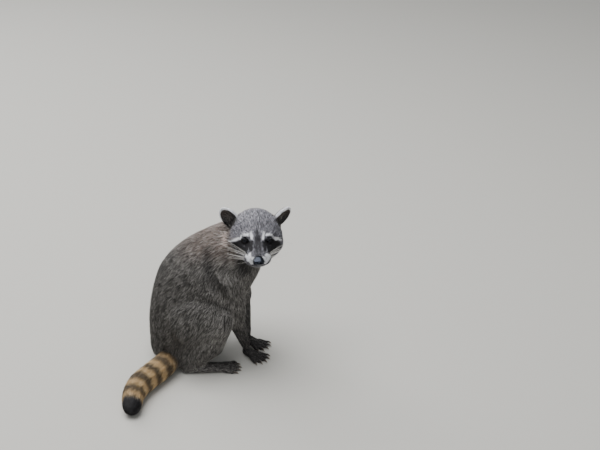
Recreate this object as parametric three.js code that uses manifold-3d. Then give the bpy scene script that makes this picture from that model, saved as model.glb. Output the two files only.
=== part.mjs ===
// A raccoon sitting on its haunches with both forepaws on the ground, its head turned to its right.
// Life size, in millimetres, +Z up. The body faces +X and the face looks towards -Y. Every outline is
// that of the coat's tips, and neighbouring pieces keep a thin parting gap.
import * as THREE from "three";
import { mergeVertices } from "three/addons/utils/BufferGeometryUtils.js";
import Module from "manifold-3d";

const wasm = await Module();
wasm.setup();

const vector = (list) => new THREE.Vector3(...list);
const mix = THREE.MathUtils.lerp;
const radians = THREE.MathUtils.degToRad;

// ---- Driving dimensions ----

const partingGap = 0.35; // between neighbouring pieces
const floorSink = 1.6; // how far the rounded soles dip below the floor before they are trimmed flat
const pelvis = { at: [-35, -5], turn: 15 }; // turn is its heading from +X towards +Y, in degrees
const skull = { at: [107, -25, 264], turn: -89.5, roll: -2 }; // its frame: x to the nose, y to its left, z up
const eye = { forward: 36.5, apart: 40, high: 11, radius: 6.8 };
const nosePad = { forward: 81, high: -8.5, long: 8, wide: 10.5, tall: 7.8 };
const ear = { back: 9, apart: 71, high: 18, tall: 45.5, wide: 32.5, thick: 15, wall: 3, lean: 37 };
const earSwivel = { left: 36, right: 14 }; // how far each ear's hollow looks aside, in degrees
const forepawSize = { long: 24, wide: 25, high: 15, digit: 24, thick: 6.6, fan: 11, claw: 7 };
const hindFootSize = { long: 74, wide: 29, high: 19, digit: 25, thick: 7.4, fan: 8, claw: 8 };

// The spine from the rump to the nape. Each station holds the centre of a section, its half width, its half
// depths to the front and to the back, and its heading.
const spine = [
  { at: [-46, -4, 16], wide: 62, front: 56, back: 54, turn: 15 },
  { at: [-40, -4, 56], wide: 76, front: 66, back: 60, turn: 14 },
  { at: [-28, -2, 104], wide: 78, front: 74, back: 70, turn: 8 },
  { at: [-4, 0, 147], wide: 74, front: 76, back: 84, turn: -4 },
  { at: [25, -1, 184], wide: 69, front: 80, back: 80, turn: -14 },
  { at: [54, -3, 214], wide: 57, front: 72, back: 67, turn: -24 },
  { at: [80, -9, 238], wide: 49, front: 60, back: 55, turn: -36 },
  { at: [102, -19, 256], wide: 40, front: 40, back: 36, turn: -50 },
];
const napeShare = 0.71; // where the neck parts from the trunk, as a share of the spine
const tail = [
  { at: [-58, -22, 32], wide: 20 },
  { at: [-62, -50, 25], wide: 23 },
  { at: [-77, -79, 23.5], wide: 24.5 },
  { at: [-98, -106, 23.5], wide: 24.5 },
  { at: [-117, -132, 23], wide: 24 },
  { at: [-128, -162, 21], wide: 22 },
  { at: [-130, -190, 18], wide: 18.5 },
];
const tailShares = [0.34, 0.78]; // where the tail's three lengths part
const tailTurn = -120; // the heading that the tail's sections are squared to, well aside from where it points

// The right hind leg's joints lie ahead of, to the right of and above the pelvis, and the left one mirrors
// them. The forelegs reach to places of their own.
const hindLeg = {
  hip: [-10, 44, 99],
  flank: [20, 61, 112],
  knee: [52, 79, 106],
  ankle: [-3, 62, 36],
  heel: [-14, 60, 16],
};
const forelegs = {
  right: { shoulder: [50, -45, 190], elbow: [64, -35, 98], wrist: [84, -12, 22], pawTurn: -44 },
  left: { shoulder: [48, 45, 190], elbow: [81, 40, 102], wrist: [88, 31, 22], pawTurn: -40 },
};
const toTheRight = { right: 1, left: -1 };
const footTurn = { right: 2, left: 30 };

const coat = { grey: 0x5d5650, dark: 0x2a2523, pale: 0xb9b2a6, ochre: 0xb5813f };

// ---- Solids ----

// A closed geometry as a solid that can be joined and cut.
function solid(geometry) {
  const bare = geometry.clone();
  for (const name of ["normal", "uv"]) bare.deleteAttribute(name);
  const merged = mergeVertices(bare, 1e-3);
  return new wasm.Manifold(
    new wasm.Mesh({
      numProp: 3,
      vertProperties: merged.attributes.position.array,
      triVerts: new Uint32Array(merged.index.array),
    }),
  );
}

const join = (solids) => solids.reduce((whole, next) => whole.add(next));

// A piece with its neighbours taken away, without the crumbs that a cut can leave.
function fitted(own, ...neighbours) {
  const left = neighbours.reduce((rest, next) => rest.subtract(next), own);
  return left.decompose().reduce((best, next) => (next.volume() > best.volume() ? next : best));
}

const aboveFloor = (own) => own.trimByPlane([0, 0, 1], 0);

// A solid made in a frame of its own, set into another.
const placed = (own, matrix) => own.transform(matrix.toArray());

function frameOf({ at, turn = 0, roll = 0, order = "ZYX" }) {
  const angles = new THREE.Euler(radians(roll), 0, radians(turn), order);
  const turning = new THREE.Quaternion().setFromEuler(angles);
  return new THREE.Matrix4().compose(vector(at), turning, vector([1, 1, 1]));
}

// A smooth value from a row of them, at place t counted in spans.
function smooth(values, t) {
  const span = Math.min(Math.floor(t), values.length - 2);
  const value = (i) => values[THREE.MathUtils.clamp(span + i, 0, values.length - 1)];
  const [a, b, c, d] = [-1, 0, 1, 2].map(value);
  const f = t - span;
  return b + 0.5 * f * (c - a + f * (2 * a - 5 * b + 4 * c - d + f * (3 * (b - c) + d - a)));
}

// A closed tube through the sections that ring(t, size, shift) gives: size scales a section about its centre,
// and shift moves it along. Each end closes in a dome of the given reach and count of rings.
function tube(spans, ring, { rows, caps, reaches }) {
  const dome = (t, reach) =>
    Array.from({ length: caps }, (_, i) => {
      const angle = ((Math.PI / 2) * (i + 1)) / (caps + 1);
      return ring(t, Math.cos(angle), reach * Math.sin(angle));
    });
  const body = Array.from({ length: spans * rows + 1 }, (_, r) => ring(r / rows, 1, 0));
  const rings = [...dome(0, -reaches[0]).reverse(), ...body, ...dome(spans, reaches[1])];
  const sides = rings[0].length;
  const points = [ring(0, 0, -reaches[0])[0], ...rings.flat(), ring(spans, 0, reaches[1])[0]];
  const last = points.length - 1;
  const faces = [];
  for (let s = 0; s < sides; s++) {
    const next = (s + 1) % sides;
    faces.push(0, 1 + next, 1 + s);
    for (let r = 0; r + 1 < rings.length; r++) {
      const low = 1 + r * sides;
      const high = low + sides;
      faces.push(low + s, low + next, high + next, low + s, high + next, high + s);
    }
    faces.push(last, last - sides + s, last - sides + next);
  }
  return solid(new THREE.BufferGeometry().setFromPoints(points).setIndex(faces));
}

// An oval tube through its stations. Its domes reach out by shares of the end sections' half widths.
function loft(stations, { sides, rows = 2, caps = 2, domes = [0.6, 0.6], grow = 0 }) {
  const line = new THREE.CatmullRomCurve3(stations.map(({ at }) => vector(at)));
  const spans = stations.length - 1;
  const wides = stations.map(({ wide }) => wide);
  const fronts = stations.map(({ wide, front = wide }) => front);
  const backs = stations.map(({ wide, front = wide, back = front }) => back);
  const turns = stations.map(({ turn = 0 }) => turn);
  const ring = (t, size, shift) => {
    const along = line.getTangent(t / spans);
    const centre = line.getPoint(t / spans).addScaledVector(along, shift);
    const heading = radians(smooth(turns, t));
    const side = new THREE.Vector3(Math.sin(heading), -Math.cos(heading), 0);
    side.addScaledVector(along, -side.dot(along)).normalize();
    const ahead = along.clone().cross(side);
    const [wide, front, back] = [wides, fronts, backs].map((values) => (smooth(values, t) + grow) * size);
    return Array.from({ length: sides }, (_, k) => {
      const angle = (2 * Math.PI * k) / sides;
      const deep = Math.sin(angle) * (Math.sin(angle) > 0 ? front : back);
      return centre.clone().addScaledVector(side, wide * Math.cos(angle)).addScaledVector(ahead, deep);
    });
  };
  const reaches = [domes[0] * wides[0] + grow, domes[1] * wides[spans] + grow];
  return tube(spans, ring, { rows, caps, reaches });
}

// The length of a lofted solid between two shares of the line through its stations.
function lengthOf(whole, stations, first, last) {
  const line = new THREE.CatmullRomCurve3(stations.map(({ at }) => vector(at)));
  const trimmed = (own, share, sign) => {
    const normal = line.getTangent(share).multiplyScalar(sign);
    return own.trimByPlane(normal.toArray(), normal.dot(line.getPoint(share)) + partingGap / 2);
  };
  const top = first > 0 ? trimmed(whole, first, 1) : whole;
  return fitted(last < 1 ? trimmed(top, last, -1) : top);
}

// A ball squeezed to three half lengths.
function ball(at, halves, detail, grow = 0) {
  const place = new THREE.Matrix4().makeScale(...halves.map((half) => half + grow)).setPosition(...at);
  return solid(new THREE.SphereGeometry(1, detail, Math.round(detail / 2)).applyMatrix4(place));
}

// ---- Head ----

// Sections across the head from its back to its muzzle, in the skull's frame: how far forward, the half width
// at the widest level, and the heights of the crown, of that level and of the jaw.
const headSections = [
  { x: -36, wide: 37, top: 34, mid: -4, low: -34 },
  { x: -24, wide: 47, top: 47, mid: -8, low: -41 },
  { x: -4, wide: 52, top: 53, mid: -13, low: -43 },
  { x: 14, wide: 49, top: 50, mid: -13, low: -42 },
  { x: 28, wide: 41, top: 39, mid: -12, low: -40 },
  { x: 40, wide: 32, top: 25, mid: -11, low: -38 },
  { x: 52, wide: 26, top: 13, mid: -12, low: -35 },
  { x: 63, wide: 23, top: 6, mid: -13, low: -31 },
  { x: 73, wide: 17, top: 1, mid: -12, low: -25 },
  { x: 80, wide: 10, top: -3, mid: -11, low: -18 },
];
// Hollows and swellings of the face, on both sides alike: where, how far they reach, and how far they move
// the surface outwards.
const faceRelief = [
  { x: 41, y: 20, z: 12, reach: 9, out: -4.5 }, // eye socket
  { x: 27, y: 21, z: 30, reach: 12, out: 2.5 }, // brow
  { x: 40, y: 34, z: -10, reach: 12, out: -2.5 }, // hollow under the eye
  { x: 4, y: 52, z: -20, reach: 14, out: 1.5 }, // cheek ruff
  { x: 62, y: 20, z: -14, reach: 9, out: 2 }, // whisker pad
  { x: 50, y: 0, z: 16, reach: 9, out: -1.5 }, // bridge of the muzzle
];

function head(grow = 0) {
  const sides = 22;
  const column = (key) => headSections.map((section) => section[key]);
  const columns = ["x", "wide", "top", "mid", "low"].map(column);
  const ring = (t, size, shift) => {
    const [x, wide, top, mid, low] = columns.map((values) => smooth(values, t));
    return Array.from({ length: sides }, (_, k) => {
      const angle = (2 * Math.PI * k) / sides;
      const upright = Math.sin(angle) > 0 ? top - mid : mid - low;
      const [aside, high] = [(wide + grow) * Math.cos(angle), (upright + grow) * Math.sin(angle)];
      const outward = new THREE.Vector3(0, aside, high);
      const point = new THREE.Vector3(x + shift, 0, mid).addScaledVector(outward, size);
      outward.normalize();
      for (const form of faceRelief) {
        const far = Math.hypot(point.x - form.x, Math.abs(point.y) - form.y, point.z - form.z) / form.reach;
        point.addScaledVector(outward, size * form.out * Math.exp(-far * far));
      }
      return point;
    });
  };
  return tube(headSections.length - 1, ring, { rows: 2, caps: 2, reaches: [11 + grow, 3 + grow] });
}

const eyeball = (sign, grow = 0) =>
  ball([eye.forward, (sign * eye.apart) / 2, eye.high], [eye.radius, eye.radius, eye.radius], 10, grow);

const nose = (grow = 0) =>
  ball([nosePad.forward, 0, nosePad.high], [nosePad.long, nosePad.wide, nosePad.tall], 12, grow);

// A cupped ear: an oval shell that leans outwards, hollow on the side that it turns ahead.
function earShell(sign, swivel) {
  const halves = [ear.thick / 2, ear.wide / 2, ear.tall * 0.6];
  const rise = ear.tall - halves[2];
  const hollowHalves = [halves[0] * 1.15, halves[1] - ear.wall, halves[2] - ear.wall];
  const hollow = ball([halves[0] * 0.75, 0, rise + 1], hollowHalves, 10);
  const cup = ball([0, 0, rise], halves, 12).subtract(hollow);
  const at = [-ear.back, (sign * ear.apart) / 2, ear.high];
  return placed(cup, frameOf({ at, turn: sign * swivel, roll: -sign * ear.lean, order: "XYZ" }));
}

// ---- Paws ----

// A flat paw on the floor, in its own frame: x to the toes, the palm's heel at the origin. The digits fan out
// and end in claws.
function paw({ long, wide, high, digit, thick, fan, claw }, grow = 0) {
  const palm = loft(
    [
      { at: [0, 0, high * 0.62 - floorSink], wide: wide * 0.34, front: high * 0.62 },
      { at: [long * 0.4, 0, high * 0.5 - floorSink], wide: wide * 0.42, front: high * 0.5 },
      { at: [long, 0, high * 0.36 - floorSink], wide: wide * 0.48, front: high * 0.36 },
    ],
    { sides: 8, rows: 1, caps: 1, domes: [0.6, 0.5], grow },
  );
  const half = thick / 2;
  const digits = [-2, -1, 0, 1, 2].map((place) => {
    const angle = radians(place * fan);
    const reach = digit * (1 - 0.07 * place * place);
    const point = (along, z) => [
      long - half + along * Math.cos(angle),
      place * wide * 0.2 + along * Math.sin(angle),
      z,
    ];
    const clawRoot = reach + half * 0.8;
    return loft(
      [
        { at: point(0, half + 2), wide: half },
        { at: point(reach, half - floorSink / 2), wide: half * 0.9 },
        { at: point(clawRoot, half), wide: half * 0.5 },
        { at: point(clawRoot + claw, half - 1.6), wide: half * 0.16 },
      ],
      { sides: 6, rows: 1, domes: [0.1, 0.8], caps: 0, grow },
    );
  });
  return aboveFloor(join([palm, ...digits]));
}

// ---- Limbs ----

// A hind leg's joints in the body's frame.
function hindLegPoints(side) {
  const heading = radians(pelvis.turn);
  const [c, s] = [Math.cos(heading), Math.sin(heading)];
  const place = ([ahead, aside, high]) => {
    const right = aside * toTheRight[side];
    return [pelvis.at[0] + ahead * c + right * s, pelvis.at[1] + ahead * s - right * c, high];
  };
  return Object.fromEntries(Object.entries(hindLeg).map(([joint, at]) => [joint, place(at)]));
}

const between = (a, b, share) => a.map((value, i) => mix(value, b[i], share));

const thigh = ({ hip, flank, knee }, grow = 0) =>
  loft(
    [
      { at: hip, wide: 42, front: 52, back: 50 },
      { at: flank, wide: 40, front: 52, back: 60 },
      { at: knee, wide: 29, front: 32, back: 38 },
    ],
    { sides: 14, domes: [0.5, 0.9], grow },
  );

const shank = ({ knee, ankle, heel }, grow = 0) =>
  loft(
    [
      { at: [knee[0], knee[1], knee[2] - 8], wide: 25 },
      { at: between(knee, ankle, 0.5), wide: 27, front: 33, back: 43 },
      { at: ankle, wide: 18, front: 22, back: 33 },
      { at: heel, wide: 12, front: 12, back: 17 },
    ],
    { sides: 10, rows: 1, domes: [0.7, 0.9], grow },
  );

const hindFoot = ({ heel }, turn, grow = 0) =>
  placed(paw(hindFootSize, grow), frameOf({ at: [heel[0], heel[1], 0], turn }));

const upperArm = ({ shoulder, elbow }, grow = 0) =>
  loft(
    [
      { at: shoulder, wide: 33 },
      { at: between(shoulder, elbow, 0.5), wide: 30 },
      { at: elbow, wide: 22 },
    ],
    { sides: 12, domes: [0.9, 0.8], grow },
  );

const forearm = ({ elbow, wrist }, grow = 0) =>
  loft(
    [
      { at: elbow, wide: 18 },
      { at: between(elbow, wrist, 0.5), wide: 14 },
      { at: wrist, wide: 10 },
    ],
    { sides: 8, domes: [0.7, 0.9], grow },
  );

const forepaw = ({ wrist, pawTurn }, grow = 0) =>
  placed(paw(forepawSize, grow), frameOf({ at: [wrist[0], wrist[1], 0], turn: pawTurn }));

// ---- Spine and tail ----

const body = (grow = 0) => loft(spine, { sides: 20, domes: [0.4, 0.5], grow });
const brush = (grow = 0) =>
  loft(
    tail.map((station) => ({ ...station, turn: tailTurn })),
    { sides: 10, domes: [0.6, 1], grow },
  );

// ---- The animal ----

function mesh(name, own, color, { roughness = 0.9 } = {}) {
  const { vertProperties, triVerts } = own.getMesh();
  const geometry = new THREE.BufferGeometry()
    .setAttribute("position", new THREE.BufferAttribute(vertProperties, 3))
    .setIndex(new THREE.BufferAttribute(triVerts, 1));
  const made = new THREE.Mesh(geometry, new THREE.MeshStandardMaterial({ color, roughness, metalness: 0 }));
  made.name = name;
  return made;
}

const raccoon = new THREE.Group();
const inSkull = (own) => placed(own, frameOf(skull));

// Head
const headRoom = inSkull(head(partingGap));
const faceRooms = [eyeball(1, partingGap), eyeball(-1, partingGap), nose(partingGap)].map(inSkull);
raccoon.add(mesh("head", fitted(inSkull(head()), ...faceRooms), coat.pale));
raccoon.add(mesh("nose", inSkull(nose()), 0x17161a, { roughness: 0.35 }));
for (const [side, sign] of Object.entries({ left: 1, right: -1 })) {
  raccoon.add(mesh(`eye_${side}`, inSkull(eyeball(sign)), 0x120c0a, { roughness: 0.05 }));
  const shell = inSkull(earShell(sign, earSwivel[side]));
  raccoon.add(mesh(`ear_${side}`, fitted(shell, headRoom, body(partingGap)), coat.pale));
}

// Legs, from the paws up: each piece gives way to the one below it, and the trunk to all of them
const tailRoom = brush(partingGap);
const armRooms = [];
const trunkNeighbours = [headRoom, tailRoom];
for (const side of ["left", "right"]) {
  const hind = hindLegPoints(side);
  const footRoom = hindFoot(hind, footTurn[side], partingGap);
  const shankRoom = shank(hind, partingGap);
  const thighRoom = thigh(hind, partingGap);
  raccoon.add(mesh(`hind_foot_${side}`, hindFoot(hind, footTurn[side]), coat.dark));
  raccoon.add(mesh(`shank_${side}`, fitted(aboveFloor(shank(hind)), footRoom, tailRoom), coat.grey));
  const thighLeft = fitted(aboveFloor(thigh(hind)), footRoom, shankRoom, tailRoom);
  raccoon.add(mesh(`thigh_${side}`, thighLeft, coat.grey));

  const fore = forelegs[side];
  const pawRoom = forepaw(fore, partingGap);
  const forearmRoom = forearm(fore, partingGap);
  const armNeighbours = [forearmRoom, thighRoom, shankRoom, headRoom];
  raccoon.add(mesh(`forepaw_${side}`, forepaw(fore), coat.dark));
  raccoon.add(mesh(`forearm_${side}`, fitted(forearm(fore), pawRoom, thighRoom, shankRoom), coat.dark));
  raccoon.add(mesh(`upper_arm_${side}`, fitted(upperArm(fore), ...armNeighbours), coat.grey));
  armRooms.push(upperArm(fore, partingGap));
  trunkNeighbours.push(footRoom, shankRoom, thighRoom, forearmRoom);
}

// Neck, trunk and tail
const trunk = lengthOf(aboveFloor(body()), spine, 0, napeShare);
const neck = lengthOf(body(), spine, napeShare, 1);
raccoon.add(mesh("trunk", fitted(trunk, ...trunkNeighbours, ...armRooms), coat.grey));
raccoon.add(mesh("neck", fitted(neck, headRoom, ...armRooms), coat.grey));
const [rootEnd, tipStart] = tailShares;
raccoon.add(mesh("tail_root", lengthOf(aboveFloor(brush()), tail, 0, rootEnd), coat.ochre));
raccoon.add(mesh("tail_middle", lengthOf(aboveFloor(brush()), tail, rootEnd, tipStart), coat.ochre));
raccoon.add(mesh("tail_tip", lengthOf(aboveFloor(brush()), tail, tipStart, 1), coat.dark));

// The origin is at the middle of the footprint, on the floor.
const middle = new THREE.Box3().setFromObject(raccoon).getCenter(new THREE.Vector3());
raccoon.position.set(-middle.x, -middle.y, 0);

export default raccoon;
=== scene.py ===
from math import radians

import bmesh
import bpy
import numpy as np
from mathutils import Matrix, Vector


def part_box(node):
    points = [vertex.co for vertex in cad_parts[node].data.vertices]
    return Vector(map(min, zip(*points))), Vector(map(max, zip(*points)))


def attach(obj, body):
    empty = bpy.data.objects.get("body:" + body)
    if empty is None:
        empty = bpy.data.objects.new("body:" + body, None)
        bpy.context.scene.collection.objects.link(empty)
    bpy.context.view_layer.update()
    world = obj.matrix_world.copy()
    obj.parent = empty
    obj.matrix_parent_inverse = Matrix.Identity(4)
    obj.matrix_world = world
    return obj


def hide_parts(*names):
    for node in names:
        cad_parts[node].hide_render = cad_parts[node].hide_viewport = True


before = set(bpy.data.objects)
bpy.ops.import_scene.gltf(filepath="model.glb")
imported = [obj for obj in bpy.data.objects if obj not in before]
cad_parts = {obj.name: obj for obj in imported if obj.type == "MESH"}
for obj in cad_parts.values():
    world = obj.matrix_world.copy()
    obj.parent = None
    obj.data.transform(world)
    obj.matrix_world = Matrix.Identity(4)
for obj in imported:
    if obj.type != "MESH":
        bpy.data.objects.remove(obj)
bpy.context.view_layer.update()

# A sitting raccoon. Arrays are in millimetres and meshes in metres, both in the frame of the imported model.
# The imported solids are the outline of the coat's tips. The skin lies inside them by the coat's depth, and
# every tuft runs from the skin to that outline.

mm = 0.001
rng = np.random.default_rng(11)
coatShare = 1  # share of the tufts that are grown


def unit(v):
    return v / np.maximum(np.linalg.norm(v, axis=-1, keepdims=True), 1e-9)


def dot(a, b):
    return (a * b).sum(-1)


def fade(x, low, high):  # 0 below low, 1 above high, smooth between
    t = np.clip((x - low) / (high - low), 0, 1)
    return t * t * (3 - 2 * t)


def turned(axis, degrees):  # the rotation matrix about x or z
    c, s = np.cos(radians(degrees)), np.sin(radians(degrees))
    return np.array({"x": [[1, 0, 0], [0, c, -s], [0, s, c]], "z": [[c, -s, 0], [s, c, 0], [0, 0, 1]]}[axis])


def ripple(p, wavelength, seed):  # smooth noise from about -1 to 1: waves in many directions, added up
    waves = np.random.default_rng(seed)
    ways = unit(waves.normal(size=(9, 3))) * waves.uniform(0.7, 1.5, (9, 1)) * 2 * np.pi / wavelength
    return np.sin(p @ ways.T + waves.uniform(0, 6.3, 9)).sum(1) / 3


def mirrored(p):  # every place on the left side
    return p * [1, 0, 1] + np.abs(p * [0, 1, 0])


def bothSides(*names):
    return [f"{name}_{side}" for name in names for side in ("left", "right")]


def capsule(p, a, b, ra, rb, soft):
    # 1 inside the capsule from a to b, whose radius runs from ra to rb, fading over soft at its edge
    a, b = np.array(a, float), np.array(b, float)
    t = np.clip(dot(p - a, b - a) / max(dot(b - a, b - a), 1e-9), 0, 1)
    far = np.linalg.norm(p - a - t[:, None] * (b - a), axis=1) - (ra + (rb - ra) * t)
    return 1 - fade(far, -soft / 2, soft / 2)


def chain(p, knots, soft):  # capsules from knot to knot, each knot a point and a radius
    found = np.zeros(len(p))
    for (*a, ra), (*b, rb) in zip(knots, knots[1:]):
        found = np.maximum(found, capsule(p, a, b, ra, rb, soft))
    return found


def nearLine(p, line):
    # For each point: how far it is from a line of points, how far along the nearest place lies, as a count of
    # spans, the line's direction there, and the way from the line to the point
    best = np.full(len(p), 1e9)
    along = np.zeros(len(p))
    way = np.zeros((len(p), 3))
    off = np.zeros((len(p), 3))
    for i, (a, b) in enumerate(zip(line, line[1:])):
        t = np.clip(((p - a) @ (b - a)) / dot(b - a, b - a), 0, 1)
        out = p - a - t[:, None] * (b - a)
        far = np.linalg.norm(out, axis=1)
        near = far < best
        best[near], along[near], off[near] = far[near], i + t[near], out[near]
        way[near] = unit(b - a)
    return best, along, way, off


def meshPoints(mesh):
    found = np.empty(len(mesh.vertices) * 3, np.float32)
    mesh.vertices.foreach_get("co", found)
    return found.reshape(-1, 3).astype(float) / mm


def meshTriangles(mesh):
    mesh.calc_loop_triangles()
    found = np.empty(len(mesh.loop_triangles) * 3, np.int32)
    mesh.loop_triangles.foreach_get("vertices", found)
    return found.reshape(-1, 3)


def setPoints(mesh, points):
    mesh.vertices.foreach_set("co", (points * mm).astype(np.float32).ravel())
    mesh.update()


def newPiece(name, points, faces, smooth=True):
    # An object from points in millimetres and an array of triangles, quads, or a list of such arrays
    faces = faces if isinstance(faces, list) else [faces]
    mesh = bpy.data.meshes.new(name)
    sizes = np.concatenate([np.full(len(f), f.shape[1], np.int32) for f in faces])
    corners = np.concatenate([f.ravel() for f in faces]).astype(np.int32)
    mesh.vertices.add(len(points))
    mesh.vertices.foreach_set("co", (points * mm).astype(np.float32).ravel())
    mesh.loops.add(len(corners))
    mesh.loops.foreach_set("vertex_index", corners)
    mesh.polygons.add(len(sizes))
    mesh.polygons.foreach_set("loop_start", np.concatenate([[0], np.cumsum(sizes)[:-1]]).astype(np.int32))
    mesh.update(calc_edges=True)
    mesh.validate()
    mesh.shade_smooth() if smooth else mesh.shade_flat()
    piece = bpy.data.objects.new(name, mesh)
    bpy.context.collection.objects.link(piece)
    return piece


def store(mesh, name, values):  # a number or a vector for each vertex
    kind, key = ("FLOAT", "value") if values.ndim == 1 else ("FLOAT_VECTOR", "vector")
    mesh.attributes.new(name, kind, "POINT").data.foreach_set(key, values.astype(np.float32).ravel())


def applied(piece, kind, **settings):  # adds a modifier and applies it
    modifier = piece.modifiers.new(kind.title(), kind)
    for key, value in settings.items():
        setattr(modifier, key, value)
    bpy.context.view_layer.update()
    done = bpy.data.meshes.new_from_object(piece.evaluated_get(bpy.context.evaluated_depsgraph_get()))
    piece.modifiers.clear()
    piece.data = done


def gridFaces(rows, columns, closed=True):
    # Quads between the rows of a grid of points, each row closed round on itself
    r, c = np.meshgrid(np.arange(rows - 1), np.arange(columns if closed else columns - 1), indexing="ij")
    a, b = r * columns + c, r * columns + (c + 1) % columns
    return np.stack([a, b, b + columns, a + columns], -1).reshape(-1, 4)


def tubes(paths, radii, sides, flat=1.0):
    # Tapered tubes along paths (count, steps, 3) with radii (count, steps), closed to a point at both ends.
    # Each ring is the circle of its radius, stretched upwards by flat, square to the path.
    count, steps, _ = paths.shape
    way = unit(np.gradient(paths, axis=1))
    side = unit(np.cross(way, [0, 0, 1.0]))
    up = np.cross(way, side)
    angle = np.arange(sides) * 2 * np.pi / sides
    ring = side[:, :, None] * np.cos(angle)[:, None] + up[:, :, None] * flat * np.sin(angle)[:, None]
    skin = paths[:, :, None] + ring * radii[:, :, None, None]
    points = np.concatenate([skin.reshape(count, -1, 3), paths[:, :1], paths[:, -1:]], axis=1)
    per = steps * sides + 2
    first = np.arange(count)[:, None, None] * per
    walls = (gridFaces(steps, sides)[None] + first).reshape(-1, 4)
    k = np.arange(sides)
    start = np.stack([(k + 1) % sides, k, np.full(sides, per - 2)], 1)
    last = (steps - 1) * sides
    end = np.stack([last + k, last + (k + 1) % sides, np.full(sides, per - 1)], 1)
    caps = (np.concatenate([start, end])[None] + first).reshape(-1, 3)
    return points.reshape(-1, 3), [walls, caps]


def middleOf(node):
    return np.mean(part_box(node), axis=0) / mm


# The skull's frame, from the eyes: x to the nose, y to the left, z up, as the solids have it
eye = {"forward": 36.5, "aside": 20, "high": 11, "radius": 6.8}
nosePad = {
    "forward": 81, "high": -8.8, "halves": (8.1, 10.4, 7.6),
    "square": 3.2,  # 2 is a round pad
    "narrowAbove": 0.3, "narrowBelow": 0.16,  # by what share it narrows to its top and to the lip
    "slopeAbove": 8, "slopeBelow": 2.5,  # how far it falls back there
    "nostril": 2.6, "groove": 0.7,  # how deep
}
noseTip = np.array([92, 0, -6])  # the face's hair spreads from here
eyesAt = {side: middleOf(f"eye_{side}") for side in ("left", "right")}
leftward = unit(eyesAt["left"] - eyesAt["right"])
forward = unit(np.cross(leftward, [0, 0, 1.0]))
skullAxes = np.stack([forward, leftward, np.cross(forward, leftward)])
skullAt = (eyesAt["left"] + eyesAt["right"]) / 2 - np.array([eye["forward"], 0, eye["high"]]) @ skullAxes

# The solids' own places are repeated here as they are worked out there, and this brings them into the
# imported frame
shift = skullAt - np.array([107, -25, 264])


def inSkull(points):
    return (points - skullAt) @ skullAxes.T


def fromSkull(points):
    return np.asarray(points, float) @ skullAxes + skullAt


# The ears: the outline's half sizes, and the frame of each, x out of the hollow, y across, z to the tip
ear = {"back": 9, "aside": 35.5, "high": 18, "tall": 45.5, "wide": 32.5, "lean": 37, "left": 36, "right": 14}
earHalf = ear["tall"] * 0.6
earAxes = {
    side: (turned("x", -sign * ear["lean"]) @ turned("z", sign * ear[side])).T
    for side, sign in (("left", 1), ("right", -1))
}


def inEar(points, side):
    base = np.array([-ear["back"], ear["aside"] * (1 if side == "left" else -1), ear["high"]])
    return (inSkull(points) - base) @ earAxes[side].T


def fromEar(points, side):
    base = np.array([-ear["back"], ear["aside"] * (1 if side == "left" else -1), ear["high"]])
    return fromSkull(np.asarray(points, float) @ earAxes[side] + base)


pelvis = {"at": [-35, -5], "turn": 15}
hindJoints = {"hip": [-10, 44, 99], "flank": [20, 61, 112], "knee": [52, 79, 106],
              "ankle": [-3, 62, 36], "heel": [-14, 60, 16]}
foreJoints = {
    "right": {"shoulder": [50, -45, 190], "elbow": [64, -35, 98], "wrist": [84, -12, 22]},
    "left": {"shoulder": [48, 45, 190], "elbow": [81, 40, 102], "wrist": [88, 31, 22]},
}
pawTurn = {"right": -44, "left": -40}
footTurn = {"right": 2, "left": 30}
forepaw = {"long": 24, "wide": 25, "digit": 24, "thick": 6.6, "fan": 11, "claw": 7}
hindFoot = {"long": 74, "wide": 29, "digit": 25, "thick": 7.4, "fan": 8, "claw": 8}


def hindPoint(joint, side):  # joints lie ahead of, aside from and above the pelvis
    ahead, aside, high = hindJoints[joint]
    flat = turned("z", pelvis["turn"]) @ [ahead, aside * (-1 if side == "right" else 1), 0]
    return np.array([*pelvis["at"], 0]) + flat + [0, 0, high] + shift


def forePoint(joint, side):
    return np.array(foreJoints[side][joint], float) + shift


def pawLine(at, turn, size):  # from above a paw's heel to its claws' tips
    reach = size["long"] + size["digit"] + size["claw"]
    steps = np.array([[0, 0, 8], [size["long"], 0, 5], [reach, 0, 3]]) @ turned("z", turn).T
    return np.array([at[0], at[1], 0]) + steps


# Each zone of the coat is a line through the body, pointing the way that its hair lies, with the half
# widths of the solid round it. depth is how far the coat stands over the skin, long and broad are a tuft's
# sizes, packed is how many tufts grow on a square millimetre, clump is how much their tips are drawn
# together, and lie is the hair's way where it doesn't follow the line. A list holds a value for each point
# of the line.
spineLine = shift + [[102, -19, 256], [80, -9, 238], [54, -3, 214], [25, -1, 184], [-4, 0, 147],
                     [-28, -2, 104], [-40, -4, 56], [-46, -4, 16]]
tailLine = shift + [[-58, -22, 32], [-62, -50, 25], [-77, -79, 23.5], [-98, -106, 23.5], [-117, -132, 23],
                    [-128, -162, 21], [-130, -190, 18], [-129, -206, 17]]
headLine = fromSkull([[84, 0, -10], [63, 0, -12], [40, 0, -6], [14, 0, 0], [-36, 0, 0]])

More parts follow.
